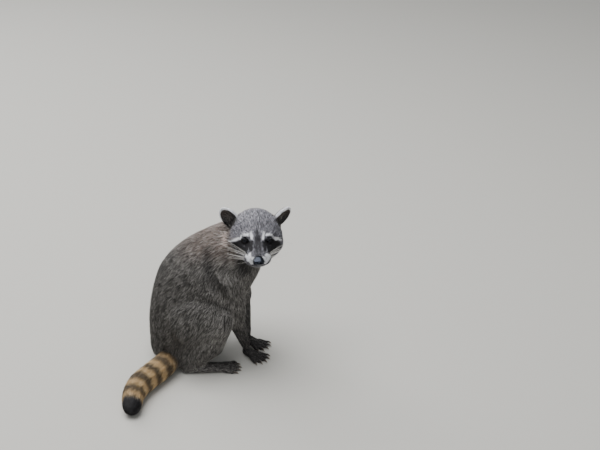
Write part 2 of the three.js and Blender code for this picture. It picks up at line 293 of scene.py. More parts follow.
zones = {
    "head": {"line": headLine, "wide": [9, 21, 34, 50, 38], "depth": [0.8, 1.2, 2.0, 3.8, 6.5],
             "long": [2.6, 3.6, 6, 11, 18], "broad": [0.45, 0.5, 0.65, 0.8, 0.95],
             "packed": [2.6, 2.5, 2.0, 1.25, 0.8], "clump": [0.2, 0.2, 0.2, 0.35, 0.4]},
    "spine": {"line": spineLine, "wide": [39, 52, 64, 74, 78, 75, 70, 58],
              "depth": [7, 8, 8, 8, 8, 8, 8, 6], "long": [18, 18, 16, 14, 14, 14, 15, 15],
              "broad": 0.88, "packed": 1.0, "clump": [0.5, 0.4, 0.25, 0.1, 0.05, 0.05, 0.1, 0.15]},
    "tail": {"line": tailLine, "wide": [20, 23, 24.5, 24.5, 24, 22, 18.5, 12],
             "depth": [7, 7.5, 8, 8, 8, 8, 7, 5], "long": 20, "broad": 0.85, "packed": 1.2, "clump": 0.7},
}
for side in ("left", "right"):
    hip, flank, knee, ankle, heel = (hindPoint(j, side) for j in ("hip", "flank", "knee", "ankle", "heel"))
    shoulder, elbow, wrist = (forePoint(j, side) for j in ("shoulder", "elbow", "wrist"))
    zones[f"ear_{side}"] = {"line": fromEar([[0, 0, 4], [-2, 0, earHalf], [-2, 0, ear["tall"]]], side),
                            "wide": [13, 15, 9], "depth": 0.9, "long": 6, "broad": 0.55, "packed": 1.5,
                            "clump": 0.2}
    zones[f"thigh_{side}"] = {"line": np.stack([knee, flank, hip]), "wide": [32, 48, 48],
                              "depth": [7, 8, 8], "long": [19, 16, 14], "broad": 0.88, "packed": 1.1,
                              "clump": [0.8, 0.5, 0.2], "lie": [-0.5, 0, -0.85]}
    zones[f"shank_{side}"] = {"line": np.stack([knee, (knee + ankle) / 2, ankle, heel]),
                              "wide": [26, 34, 25, 13], "depth": [7, 7, 4.5, 2.3], "long": [22, 20, 14, 8],
                              "broad": [0.95, 0.95, 0.85, 0.7], "packed": [1.1, 1.1, 1.2, 1.4],
                              "clump": [0.9, 0.9, 0.5, 0.2], "lie": [-0.35, 0, -0.95]}
    zones[f"hind_foot_{side}"] = {"line": pawLine(heel, footTurn[side], hindFoot), "wide": [13, 14, 6],
                                  "depth": [2, 1.4, 0.8], "long": [7, 5, 3.5], "broad": [0.75, 0.65, 0.5],
                                  "packed": [1.6, 1.7, 1.8], "clump": 0.3}
    zones[f"upper_arm_{side}"] = {"line": np.stack([shoulder, elbow]), "wide": [33, 23], "depth": [8, 6],
                                  "long": [20, 16], "broad": 0.9, "packed": [1.05, 1.1], "clump": [0.35, 0.7]}
    zones[f"forearm_{side}"] = {"line": np.stack([elbow, wrist]), "wide": [18, 10], "depth": [4, 2],
                                "long": [14, 8], "broad": [0.85, 0.7], "packed": [1.2, 1.6], "clump": 0.4}
    zones[f"forepaw_{side}"] = {"line": pawLine(wrist, pawTurn[side], forepaw), "wide": [11, 12, 6],
                                "depth": [1.8, 1.2, 0.7], "long": [6, 4.5, 3], "broad": [0.65, 0.6, 0.45],
                                "packed": [1.7, 1.9, 2.0], "clump": 0.3}
zoneNames = list(zones)
zoneSharpness = 9  # how abruptly one zone passes into the next


def readZones(p):
    # The share of each zone at each point, by how far the point lies from its line in half widths, the zones'
    # values blended by those shares, and the way the hair lies
    shares, ways, values = [], [], {key: [] for key in ("depth", "long", "broad", "packed", "clump")}
    for name in zoneNames:
        zone = zones[name]
        knots = np.arange(len(zone["line"]))
        far, along, way, _ = nearLine(p, zone["line"])
        shares.append(far / np.interp(along, knots, zone["wide"]))
        lie = np.array(zone.get("lie", [0, 0, 0]), float)
        ways.append(lie + np.zeros_like(p) if lie.any() else way)
        for key in values:
            row = np.broadcast_to(zone[key], len(knots))
            values[key].append(np.interp(along, knots, row))
    ways[zoneNames.index("head")] = unit(inSkull(p) - noseTip) @ skullAxes
    shares = np.stack(shares)
    shares = np.exp(-zoneSharpness * (shares - shares.min(0)))
    shares /= shares.sum(0)
    blended = {key: (shares * np.stack(rows)).sum(0) for key, rows in values.items()}
    lie = sum(share[:, None] * way for share, way in zip(shares, ways))
    return shares, blended, unit(lie)


# Markings of the face, which the skin and the coat share: points and radii in the skull's frame, on both
# sides alike
faceMarks = {
    "mask": [(62, 20.5, -3, 2), (56, 20, 0, 4.6), (46, 17.5, 8.5, 7), (40, 21, 8.4, 7.6), (32, 34, -1, 7),
             (25, 42, -5, 4)],
    "maskLow": [(61, 21, -3, 2.4), (48, 25, -4, 7.3), (36, 33, -5.5, 6.6)],
    "blaze": [(36, 0, 30, 1.6), (41, 0, 24, 3.6), (46, 0, 17, 5.8), (57, 0, 8, 7), (70, 0, 2, 6),
              (77, 0, -1, 4.6)],
    "forehead": [(16, 0, 49, 1), (36, 0, 30, 3)],
    "browSpot": [(44.4, 10.3, 17, 2), (40.4, 11, 21.3, 3.1), (36.6, 11.4, 26, 1.8)],
    "browArc": [(38, 17.4, 21.2, 2.9), (35, 25.4, 16.9, 3.4), (31.5, 33, 10.4, 2.6), (24, 41.5, 3.8, 2),
                (16, 49, -3, 1.5)],
    "browGap": [(42.5, 13.4, 18.4, 1.1), (38.2, 14.4, 22.8, 0.9), (36, 14.8, 25.5, 0.5)],
    "flank": [(48, 10, 12.5, 2.5), (54, 12, 8, 4.6), (61, 11.5, 3, 3.6)],
    "muzzle": [(66.5, 13, -1.2, 1.7), (69, 14.5, -6.5, 6.2), (65, 19, -9, 4.4), (74, 12, -12.5, 5.6),
               (77, 9, -4, 2.5)],
    "chin": [(66, 0, -28, 9), (56, 8, -31, 8)],
    # the throat's dark is partly its dark fur and partly painted shade under the head
    "throat": [(46, 12, -42, 11), (34, 24, -36, 10), (20, 22, -52, 16)],
    "underMask": [(58, 26, -14, 3), (50, 28, -16, 5), (40, 32, -17, 7), (30, 38, -15, 8), (20, 46, -11, 6)],
    "cheekBack": [(4, 57, 5, 4), (17, 56, -8, 4)],
    "mouth": [(79, 0, -19, 0.6), (72, 12, -22.5, 0.6), (58, 18, -26, 0.6), (46, 22, -26, 0.4)],
}
# How far they fade at their edges, apart from the sharp ones
sharpEdge = 2.4
softEdges = {"forehead": 7, "cheekBack": 9, "throat": 14, "underMask": 9}
# Painted light and shade on the coat, by height: darker low down and lighter towards the top of the head, as
# light falls from above
paintedLightAt = {"heights": [0, 50, 110, 165, 205, 245, 300], "light": [0.5, 0.43, 0.48, 0.58, 0.66, 0.85, 1.02]}
# Along the tail, in millimetres from its root: the middle and half width of each golden ring, and how golden
# it is. Between them the hair is dark, and the tip is black.
tailRings = [(53, 5.5, 0.7), (80, 7.8, 1), (110, 7.3, 1), (143, 7.3, 1), (171, 5.5, 0.9)]
blackTip = 181

# Forms of the trunk, in the solids' own frame and on both sides alike: a crease behind the shoulder that runs
# down to the elbow, and the top of the thigh below it
# On the coat the crease is painted darker as shade, and the top of the thigh lighter as a painted highlight
trunkForms = {
    "crease": [(17, 38, 246, 6), (16, 52, 229, 9), (19, 60, 212, 8.5), (25, 66, 196, 8), (36, 73, 183, 7),
               (48, 74, 170, 5)],
    "creaseSoft": 13, "creaseDeep": 7,
    "ridge": [(14, 70, 177, 3), (32, 71, 166, 4), (53, 71, 151, 5), (70, 63, 130, 5)],
    "ridgeSoft": 15, "ridgeHigh": 2.5,
}


def trunkRelief(d):
    return [chain(mirrored(d), trunkForms[form], trunkForms[form + "Soft"]) for form in ("crease", "ridge")]


def markingsAndPaintedLight(p):
    # How dark, how pale and how brown the hair is at each point, with painted shade in the crease behind the
    # shoulder, and then the painted light and shade on it, how cool it is and how golden
    shares, _, _ = readZones(p)
    zone = dict(zip(zoneNames, shares))
    both = lambda *names: sum(zone[name] for name in bothSides(*names))
    d = p - shift
    q = mirrored(inSkull(p)) + 0.7 * np.stack([ripple(p, 9, seed) for seed in (1, 2, 3)], 1)
    mark = {name: chain(q, knots, softEdges.get(name, sharpEdge)) for name, knots in faceMarks.items()}
    face = fade(q[:, 0], -20, 10) * (zone["head"] > 0.4)

    # Face: dark between the pale bars, and pale round the dark mask
    brows = face * np.maximum(mark["browArc"], mark["browSpot"])
    blaze = face * np.maximum(mark["blaze"], 0.4 * mark["forehead"])
    pale = np.maximum(brows, face * mark["muzzle"] * (1 - mark["maskLow"]))
    pale = np.maximum(pale, 0.3 * face * mark["chin"]) * (1 - blaze)
    dark = face * np.maximum(mark["mask"], mark["maskLow"]) * (1 - 0.85 * brows)
    # The throat's dark is partly its dark fur and partly painted shade under the head
    for much in (0.82 * blaze * (1 - 0.4 * fade(q[:, 0], 58, 70)), 0.9 * face * mark["browGap"],
                 0.93 * face * mark["flank"] * (1 - mark["muzzle"]), 0.15 * face * mark["mouth"],
                 0.6 * face * mark["underMask"] * (1 - pale), 0.85 * mark["throat"] * (1 - pale)):
        dark = np.maximum(dark, much)
    almond = almondOf(inSkull(p))
    dark = np.maximum(dark, 1 - fade(almond, 1.1, 1.3))
    pale = pale * fade(almond, 1.15, 1.4)
    brown = 0.6 * mark["cheekBack"]

    # Ears: a thin pale rim round a dark hollow, and grey-brown backs
    for side in ("left", "right"):
        own = fade(zone[f"ear_{side}"], 0.3, 0.7)
        e = inEar(p, side)
        outline = np.hypot(e[:, 1] / (ear["wide"] / 2), (e[:, 2] - ear["tall"] + earHalf) / earHalf)
        rim = own * fade(outline, 0.78, 0.86) * fade(e[:, 0], -3.5, -1) * fade(e[:, 2], 8, 20)
        hollow = own * fade(e[:, 0], -3, 0) * (1 - rim)
        pale = np.maximum(pale * (1 - own), rim)
        dark = np.maximum(dark * (1 - own), 0.72 * hollow + 0.3 * own * (1 - rim) * (1 - hollow))
        earBrown = 0.75 * hollow * fade(e[:, 2], 18, 36) + 0.3 * own * (1 - hollow)
        brown = np.maximum(brown * (1 - own), earBrown)

    # Trunk and legs
    crease, ridge = trunkRelief(d)
    trunk = 1 - fade(zone["head"], 0.3, 0.7)
    back = zone["spine"] * fade(-dot(d - [10, 0, 170], unit(np.array([0.75, 0, -0.65]))), 45, 75)
    dark = np.maximum(dark, 0.22 * back * (1 - fade(np.abs(d[:, 1]), 12, 34)))
    # Painted shade: darker in the crease behind the shoulder, but not on the top of the thigh
    dark = np.maximum(dark, 0.7 * trunk * crease * (1 - ridge))
    nape = (zone["spine"] + zone["head"] * fade(-q[:, 0], 5, 30)) * fade(d[:, 2], 212, 255)
    brown = np.maximum(brown, 0.38 * nape)
    arms, feet = both("forearm", "forepaw"), both("hind_foot")
    dark = np.maximum(dark, 0.5 * fade(arms, 0.3, 0.8))
    dark = np.maximum(dark, 0.15 * fade(feet, 0.3, 0.8))

    # Painted light and shade: lighter above, darker low down and behind, with a fringe of long, paler hair
    # over the shank
    light = np.interp(d[:, 2], paintedLightAt["heights"], paintedLightAt["light"])
    light = light + 0.22 * both("shank") * fade(d[:, 2], 50, 80) * fade(d[:, 0], -10, 20)
    light = light + 0.16 * fade(both("thigh"), 0.3, 0.8) * fade(d[:, 0], 0, 40)
    # A painted highlight on the top of the thigh, and the arms and feet lighter than the painted shade low
    # down
    light = light + 0.32 * trunk * ridge + 0.2 * arms + 0.45 * feet
    light = np.where(face > 0, 0.95, light)
    light = light + 1.4 * mark["cheekBack"]
    cool = fade(zone["head"], 0.2, 0.8) * (1 - 0.8 * fade(-q[:, 0], 5, 30))

    # Tail: how far down it each point is, and the rings by that
    steps = np.linalg.norm(np.diff(tailLine, axis=0), axis=1)
    _, along, _, _ = nearLine(p, tailLine)
    s = np.interp(along, np.arange(len(tailLine)), np.concatenate([[0], np.cumsum(steps)]))
    s = s + 1.8 * ripple(p, 15, 4)
    golden = sum(much * (1 - fade(np.abs(s - at), half - 4, half + 5)) for at, half, much in tailRings)
    ring = 1 - golden
    ringed = fade(s, 28, 55) * (1 - fade(s, blackTip - 4, blackTip + 4))
    own = fade(zone["tail"], 0.35, 0.75)
    tailDark = np.where(s > 90, np.maximum(0.45 * ring, 1 - ringed), 0.45 * ring + 0.3 * (1 - ringed))
    # The tail's painted light and shade: lowest at its root, as low on the body, and lower again on the dark
    # rings
    tailLight = np.interp(s, [20, 60, 180, 200], [0.5, 0.86, 0.86, 0.8]) * (1 - 0.66 * ring * ringed)
    dark, light = dark * (1 - own) + own * tailDark, light * (1 - own) + own * tailLight
    pale, brown, cool = pale * (1 - own), brown * (1 - own), cool * (1 - own)
    marksAndPaintedShade = np.clip(np.stack([dark, pale, brown], 1), 0, 1)
    return marksAndPaintedShade, np.stack([light, cool, own * ringed * (0.8 + 0.2 * golden)], 1)


# The outline of the coat, and the skin under it
notFlesh = ("eye_left", "eye_right", "nose")
flesh = [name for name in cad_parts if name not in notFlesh]
hull = {
    "overlap": 0.5,  # how far each solid grows, so that neighbours run into each other
    "voxel": 1.25,
    "softness": 26,  # rounds of smoothing on the body, with fewer on the head and hardly any on ears and paws
    "keep": 0.3,  # share of the faces that stay, fewest where the shape is plain
}


def makeHull():
    # Copies of the flesh solids, merged into one closed surface: the outline of the coat's tips
    points, faces, count = [], [], 0
    for name in flesh:
        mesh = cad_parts[name].data
        p, f = meshPoints(mesh), meshTriangles(mesh)
        places, same = np.unique(np.round(p, 3), axis=0, return_inverse=True)
        f = same.ravel()[f]
        normal = np.cross(places[f[:, 1]] - places[f[:, 0]], places[f[:, 2]] - places[f[:, 0]])
        out = np.zeros_like(places)
        for corner in range(3):
            np.add.at(out, f[:, corner], normal)
        points.append(places + unit(out) * hull["overlap"])
        faces.append(f + count)
        count += len(places)
    whole = newPiece("hull", np.concatenate(points), np.concatenate(faces))
    applied(whole, "REMESH", mode="VOXEL", voxel_size=hull["voxel"] * mm, adaptivity=0)

    p = meshPoints(whole.data)
    zone = dict(zip(zoneNames, readZones(p)[0]))
    small = sum(zone[name] for name in bothSides("ear", "hind_foot", "forepaw"))
    face = zone["head"] * fade(inSkull(p)[:, 0], -10, 35)
    weight = np.clip(1 - 0.75 * face - 0.4 * zone["head"] - 0.95 * small, 0.04, 1)
    group = whole.vertex_groups.new(name="softness")
    for level in np.linspace(0, 1, 11):  # in steps of a tenth, because a group takes one weight at a time
        picked = np.nonzero(np.abs(weight - level) <= 0.05)[0]
        group.add(picked.tolist(), float(level), "REPLACE")
    applied(whole, "SMOOTH", factor=0.8, iterations=hull["softness"], vertex_group="softness")
    applied(whole, "DECIMATE", ratio=hull["keep"])
    return whole


def splitFaces(piece, near):  # parts each face near something into four, to hold finer shapes
    work = bmesh.new()
    work.from_mesh(piece.data)
    work.verts.ensure_lookup_table()
    chosen = near(meshPoints(piece.data))
    edges = [e for e in work.edges if chosen[e.verts[0].index] and chosen[e.verts[1].index]]
    bmesh.ops.subdivide_edges(work, edges=edges, cuts=1)
    bmesh.ops.triangulate(work, faces=[f for f in work.faces if len(f.verts) > 3])
    work.to_mesh(piece.data)
    work.free()


def evenedOut(values, triangles, rounds):  # each vertex's values become the mean with its neighbours'
    edges = np.concatenate([triangles[:, [0, 1]], triangles[:, [1, 2]], triangles[:, [2, 0]]])
    count = np.bincount(edges.ravel(), minlength=len(values))[:, None] + 1
    flat = values.reshape(len(values), -1)
    for _ in range(rounds):
        total = flat.copy()
        for column in range(flat.shape[1]):
            total[:, column] += np.bincount(edges[:, 0], flat[edges[:, 1], column], len(flat))
            total[:, column] += np.bincount(edges[:, 1], flat[edges[:, 0], column], len(flat))
        flat = total / count
    return flat.reshape(values.shape)


def outwards(points, triangles):  # unit normals at the vertices
    a, b, c = (points[triangles[:, i]] for i in range(3))
    normal = np.cross(b - a, c - a)
    total = np.stack([
        sum(np.bincount(triangles[:, i], normal[:, axis], len(points)) for i in range(3)) for axis in range(3)
    ], 1)
    return unit(total)


# Forms of the face that are finer than the solids', in the skull's frame and on both sides alike: knots of a
# point and a radius, how far they fade, and how far they move the surface outwards
faceForms = [
    {"knots": faceMarks["mouth"], "soft": 3, "out": -0.7},  # line of the lips
    {"knots": [(80, 0, -15, 0.5), (80, 0, -21, 0.5)], "soft": 2.4, "out": -1.3},  # philtrum
    {"knots": [(72, 13, -16, 3.5), (64, 17, -19, 4.5)], "soft": 7, "out": 1.3},  # whisker pad
    {"knots": [(45, 13.5, 9, 1.5), (52, 14, 3, 1.5)], "soft": 8, "out": -1.4},  # between muzzle and eye
    {"knots": [(39, 15, 21, 2), (36, 25, 20.5, 3)], "soft": 7, "out": 1.2},  # brow ridge
    {"knots": [(60, 0, -37, 4), (60, 0, -37, 4)], "soft": 8, "out": 0.6},  # chin
    {"knots": [(54, 29, -15, 3), (42, 36, -15, 6), (30, 43, -17, 7)], "soft": 13, "out": -3.4},  # lower cheek
]
lids = {
    "across": 5.9, "tall": 2.8, "tilt": 14,  # the almond between them
    "outward": 24, "upward": 3,  # where the eye looks, in degrees
    "thick": 0.75,  # how far the lids stand off the ball
    "rim": 0.3,  # how far their edges stand out from them
    "fold": 0.7,  # how deep the crease over the upper lid is
    "behind": 4.5,  # how far the surface falls back between them
    "edge": 6.4,  # how far from the look direction they go round the ball
    "near": 6.2, "far": 10.5,  # from where to where they pass into the face
    "reach": 16, "deep": 9,  # how far aside and behind the ball a place may lie to be theirs
}
noLids = 9  # the almond's value away from the eyes


def eyeFrame(sign):  # where the eye looks, and the lids' two axes across it, in the skull's frame
    look = unit(turned("z", sign * lids["outward"]) @ [1, 0, np.sin(radians(lids["upward"]))])
    across = unit(np.cross([0, 0, 1.0], look)) * sign
    up = np.cross(look, across * sign)
    c, s = np.cos(radians(lids["tilt"])), np.sin(radians(lids["tilt"]))
    return look, across * c + up * s, up * c - across * s


def lidPlace(q, sign):
    # How far along the look direction, across and up each place is from the eyeball's middle, and where it
    # lies from the almond's middle, which is 1 at the lids' edges
    look, across, up = eyeFrame(sign)
    out = q - [eye["forward"], sign * eye["aside"], eye["high"]]
    w, u, v = dot(out, look), dot(out, across), dot(out, up)
    almond = np.sqrt((u / lids["across"]) ** 2 + (v / lids["tall"]) ** 2)
    return w, u, v, np.where((w > -lids["deep"]) & (np.hypot(u, v) < lids["reach"]), almond, noLids)


def almondOf(q):  # the nearer eye's
    return np.minimum(lidPlace(q, 1)[3], lidPlace(q, -1)[3])


def carveLids(q, over):
    # Round each eye the surface is moved along the look direction, on to the ball and off it by the lids'
    # thickness. Inside the almond between the lids it falls behind the ball.
    for sign in (1, -1):
        look = eyeFrame(sign)[0]
        w, u, v, almond = lidPlace(q, sign)
        far = np.hypot(u, v)
        ball = eye["radius"] + lids["thick"]
        height = np.sqrt(ball**2 - np.minimum(far, lids["edge"]) ** 2) + over
        height = height + lids["rim"] * fade(almond, 0.9, 1.05) * (1 - fade(almond, 1.1, 1.4))
        height = height - lids["fold"] * (v > 0) * fade(almond, 1.5, 1.8) * (1 - fade(almond, 1.8, 2.2))
        height = height - lids["behind"] * (1 - fade(almond, 0.78, 1))
        low = fade(-(u + v) / (far + 1), 0, 1)  # the muzzle and the cheek stand higher than the lids
        high = fade(v / (far + 1), 0, 0.6)  # and a hollow lies between them and the brow
        share = 1 - fade(far, lids["near"] - 1.8 * low + 2 * high, lids["far"] - 2 * low + 2 * high)
        q = q + (share * (almond < noLids) * (height - w))[:, None] * look
    return q


def faceRelief(q, normal):
    m = mirrored(q)
    for form in faceForms:
        q = q + normal * (form["out"] * chain(m, form["knots"], form["soft"]))[:, None]
    return q


def makeSkin():
    # Finer faces on the muzzle, finer again round the eyes, and finest between the lids
    whole = makeHull()
    splitFaces(whole, lambda p: (inSkull(p)[:, 0] > 34) & (inSkull(p)[:, 2] > -40))
    for side in ("left", "right"):
        splitFaces(whole, lambda p: np.linalg.norm(p - eyesAt[side], axis=1) < 11.5)
    splitFaces(whole, lambda p: almondOf(inSkull(p)) < 1.2)
    tips, triangles = meshPoints(whole.data), meshTriangles(whole.data)
    normal = evenedOut(outwards(tips, triangles), triangles, 2)
    crease, ridge = trunkRelief(tips - shift)
    moved = trunkForms["ridgeHigh"] * ridge - trunkForms["creaseDeep"] * crease * (1 - ridge)
    tips = tips + normal * moved[:, None]
    normal = evenedOut(outwards(tips, triangles), triangles, 2)
    shares, blend, lie = readZones(tips)
    zone = dict(zip(zoneNames, shares))

    # The skin is the outline moved in by the coat's depth. Soles stay down.
    q = inSkull(tips)
    cheekRuff = zone["head"] * chain(mirrored(q), [(6, 50, -22, 8), (-14, 46, -22, 10)], 24)
    depth = evenedOut(blend["depth"] + 4 * cheekRuff, triangles, 4)
    move = -normal * depth[:, None]
    feet = sum(zone[name] for name in bothSides("hind_foot", "forepaw"))
    move[:, 2] = np.where(feet > 0.5, np.minimum(move[:, 2], 0), move[:, 2])
    skin = tips + move
    settle = fade(depth, 5, 10)[:, None]
    skin = skin + settle * (evenedOut(skin, triangles, 6) - skin)
    skin[:, 2] = np.maximum(skin[:, 2], 0)

    # The face's folds and lids, on both surfaces
    near = q[:, 0] > 15
    skullNormal = normal @ skullAxes.T
    almond = almondOf(q)
    nearLids = 1 - fade(almond, 1.2, 3)
    thin = np.minimum(depth, 1.0) * (1 - 0.7 * nearLids)
    formed = {}
    for key, surface, over in (("skin", skin, 0 * thin), ("tips", tips, thin)):
        face = faceRelief(inSkull(surface)[near], skullNormal[near])
        face = carveLids(face, over[near])
        formed[key] = surface.copy()
        formed[key][near] = fromSkull(face)
    skin, tips = formed["skin"], formed["tips"]

    # No tufts on the lids, between them or under the nose pad, and tiny ones close by
    fromEye = np.minimum(*(np.hypot(*lidPlace(q, sign)[1:3]) for sign in (1, -1)))
    fromEye = np.where(almond < noLids, fromEye, np.inf)
    pad = np.array([nosePad["forward"], 0, nosePad["high"]])
    underPad = np.linalg.norm((q - pad) / (np.array(nosePad["halves"]) * 1.04), axis=1) < 1
    blend["packed"] = blend["packed"] * fade(fromEye, 4.1, 5.1) * fade(almond, 1.08, 1.25) * (1 - underPad)
    blend["long"] = blend["long"] * (1 - 0.6 * nearLids)
    blend["broad"] = blend["broad"] * (1 - 0.35 * nearLids)

    across = lie - normal * dot(lie, normal)[:, None]
    lie = unit(evenedOut(unit(across), triangles, 10))
    setPoints(whole.data, tips)
    body = newPiece("skin", skin, triangles)
    return body, whole, {
        **blend, "skin": skin, "tips": tips, "triangles": triangles, "normal": outwards(skin, triangles),
        "lie": lie, "shares": shares, "depth": np.where(near, depth * (1 - 0.7 * nearLids), depth),
    }


skin, hullObject, ground = makeSkin()
print("skin:", len(ground["triangles"]), "triangles")
# The skin carries the same painted light and shade as the coat
skinMarksAndPaintedShade, skinPaintedLightAndTones = markingsAndPaintedLight(ground["tips"])
store(skin.data, "marksAndPaintedShade", skinMarksAndPaintedShade)
store(skin.data, "paintedLightAndTones", skinPaintedLightAndTones)
store(skin.data, "along", np.full(len(skinMarksAndPaintedShade), 0.55))
store(skin.data, "shade", 0.4 + 0.1 * ripple(ground["tips"], 4, 5))

tuft = {
    "most": 33000,  # in a piece, at six triangles each
    "patch": 0.003,  # a tuft's size on the bake map
    "guard": 0.15,  # share of longer, paler hairs
    "long": (0.75, 1.15), "broad": (0.7, 1.25),  # how its sizes vary
    "swing": 0.18,  # how far neighbours' directions differ, in radians
    "middle": 0.42,  # where along a tuft its widest place is
    "rise": 0.75,  # how high that place is, from the skin to the outline
    "reach": 0.96,  # where along its length the tip meets the outline
    "clumpSize": 0.2,  # tips within this share of their length are drawn together
    "lean": 0.2,  # how far its normals stray from the skin's
    "mixed": 0.9,  # how much neighbours differ where a marking is faint
}


def onOutline(points):  # the nearest places on the outline of the coat's tips
    loose = bpy.data.meshes.new("loose")
    loose.vertices.add(len(points))
    loose.vertices.foreach_set("co", (points * mm).astype(np.float32).ravel())
    carrier = bpy.data.objects.new("loose", loose)
    bpy.context.collection.objects.link(carrier)
    applied(carrier, "SHRINKWRAP", target=hullObject, wrap_method="NEAREST_SURFACEPOINT")
    found = meshPoints(carrier.data)
    bpy.data.objects.remove(carrier)
    return found


def unrolled(root, rows, zonesOfIt):
    # The bake map: each zone is unrolled round its own line, the zones side by side, and a tuft's patch
    # lies on a lattice at its root's place there
    place = np.zeros((len(root), 2))
    for k, zoneName in enumerate(zonesOfIt):
        line = zones[zoneName]["line"]
        _, along, way, off = nearLine(root, line)
        level = unit(np.cross(way, [0.3, 0.2, 1.0]))
        angle = np.arctan2(dot(off, level), dot(off, np.cross(way, level)))
        # beyond an end of the line, the distance to it goes on
        beyond = dot(root - line[0], unit(line[0] - line[1])).clip(0) * (along == 0)
        beyond = beyond - dot(root - line[-1], unit(line[-1] - line[-2])).clip(0) * (along >= len(line) - 1)
        down = (along - beyond / 30 + 0.7) / (len(line) + 0.4)
        about = (k + 0.02 + 0.96 * (angle / (2 * np.pi) + 0.5)) / len(zonesOfIt)
        place[rows == k] = np.stack([about, down], 1)[rows == k]
    pitch = tuft["patch"] * 1.1
    return np.clip((np.floor(place / pitch) + 0.5) * pitch, pitch, 1 - pitch)


def growCoat(name, zonesOfIt, material, part=None):
    # Tufts over the skin where these zones are, or over the part of it that part() picks: roots at random
    # places on its triangles, as dense as the zones say
    g = ground
    t = g["triangles"]
    corners = g["skin"][t]
    area = np.linalg.norm(np.cross(corners[:, 1] - corners[:, 0], corners[:, 2] - corners[:, 0]), axis=1) / 2
    best = g["shares"].max(0)
    ofIt = np.stack([g["shares"][zoneNames.index(z)] for z in zonesOfIt])
    chance = area * g["packed"][t].mean(1) * (ofIt.max(0) >= best)[t].mean(1)
    if part:
        chance = chance * part(corners.mean(1))
    count = int(min(chance.sum(), tuft["most"]) * coatShare)
    pick = rng.choice(len(t), count, p=chance / chance.sum())
    bary = rng.dirichlet([1, 1, 1], count)
    at = lambda values: np.einsum("nc,nc...->n...", bary, values[t[pick]])

    root, top, normal, lie = at(g["skin"]), at(g["tips"]), unit(at(g["normal"])), at(g["lie"])
    depth, long, broad, clump = at(g["depth"]), at(g["long"]), at(g["broad"]), at(g["clump"])
    lie = unit(lie - normal * dot(lie, normal)[:, None] + 1e-6)
    side = unit(np.cross(lie, normal))
    swing = tuft["swing"] * rng.normal(size=count) + 0.1 * ripple(root, 60, 6) + 0.05 * ripple(root, 17, 7)
    lie = unit(lie + side * swing[:, None])
    side = unit(np.cross(lie, normal))
    guard = rng.random(count) < tuft["guard"]
    long = long * rng.uniform(*tuft["long"], count) * np.where(guard, 1.2, 1)
    broad = broad * rng.uniform(*tuft["broad"], count) * np.where(guard, 0.85, 1)

    # A tuft follows the outline at its middle and at its tip, which is at any depth in the coat's outer part
    middle = onOutline(top + lie * (tuft["middle"] * long)[:, None])
    tip = onOutline(top + lie * (tuft["reach"] * long)[:, None])
    middle = middle - normal * (depth * (1 - tuft["rise"]))[:, None]
    sunk = np.where(guard, rng.uniform(-1, 0.4, count) * (0.15 + 0.3 * clump),
                    rng.uniform(0, 1, count) * (0.2 + 0.3 * clump))
    tip = tip - normal * (depth * sunk)[:, None]

    # Tips in the same small cell of space are drawn together, and share some of their shade
    cell = np.clip(tuft["clumpSize"] * at(g["long"]) * (0.6 + 0.6 * clump), 1.4, 6).round(1)
    cell = np.round(cell * 2) / 2  # half millimetres, so that neighbours share a cell
    key = np.column_stack([cell, np.floor((root + 0.5 * rng.normal(size=(count, 3))) / cell[:, None])])
    _, same = np.unique(key, axis=0, return_inverse=True)
    same = same.ravel()
    size = np.bincount(same)
    drawn = np.stack([(np.bincount(same, tip[:, k]) / size)[same] for k in range(3)], 1)
    tip = tip + (drawn - tip) * (clump * rng.uniform(0.4, 1.2, count))[:, None]
    ownShade = rng.normal(size=len(size))[same]
    for points in (middle, tip):
        points[:, 2] = np.maximum(points[:, 2], 0.4)
    root = root - normal * np.minimum(0.6, depth * 0.4)[:, None]
    root[:, 2] = np.maximum(root[:, 2], 0.3)

    # A tuft is a thin spindle: a point at its root, three corners at its widest place, and its tip
    wide, thick = side * (0.5 * broad)[:, None], normal * (0.45 * broad)[:, None]
    points = np.stack([root, middle - wide, middle + wide, middle + thick, tip], 1).reshape(-1, 3)
    faces = np.array([[0, 1, 2], [0, 2, 3], [0, 3, 1], [4, 2, 1], [4, 3, 2], [4, 1, 3]])
    faces = (faces[None] + 5 * np.arange(count)[:, None, None]).reshape(-1, 3)
    piece = newPiece(name, points, faces)
    mesh = piece.data

    # Its normals lean to the skin's, as light falls on a coat and not on single hairs
    lean = np.stack([0 * side, -0.6 * side, 0.6 * side, 0 * side, 0.35 * lie], 1) + normal[:, None]
    lean = lean + tuft["lean"] * rng.normal(size=(count, 1, 3))
    mesh.normals_split_custom_set_from_vertices(unit(lean).reshape(-1, 3).astype(np.float32).tolist())

    # Markings are read where the tuft shows, and one shade holds for all of it. Where a marking is faint,
    # some tufts have it and their neighbours don't.
    whim = rng.normal(size=(count, 1))
    varied = lambda marksAndPaintedShade: np.clip(marksAndPaintedShade + tuft["mixed"] * marksAndPaintedShade * (1 - marksAndPaintedShade) * whim, 0, 1)
    (marksAndPaintedShade, paintedLightAndTones), (tipMarksAndPaintedShade, tipPaintedLightAndTones) = markingsAndPaintedLight(middle), markingsAndPaintedLight(middle * 0.4 + tip * 0.6)
    shade = 0.38 + (0.24 + 0.2 * clump) * rng.normal(size=count)
    shade = shade + 0.15 * clump * ownShade + (0.3 + 0.35 * clump) * guard
    upTo = lambda low, high: np.concatenate([np.repeat(low[:, None], 4, 1), high[:, None]], 1).reshape(-1, 3)
    store(mesh, "marksAndPaintedShade", upTo(varied(marksAndPaintedShade), varied(tipMarksAndPaintedShade)))
    store(mesh, "paintedLightAndTones", upTo(paintedLightAndTones, tipPaintedLightAndTones))
    store(mesh, "shade", np.repeat(np.clip(shade, 0, 1), 5))
    store(mesh, "along", np.tile([0, tuft["middle"], tuft["middle"], 0.5, 1.0], count))

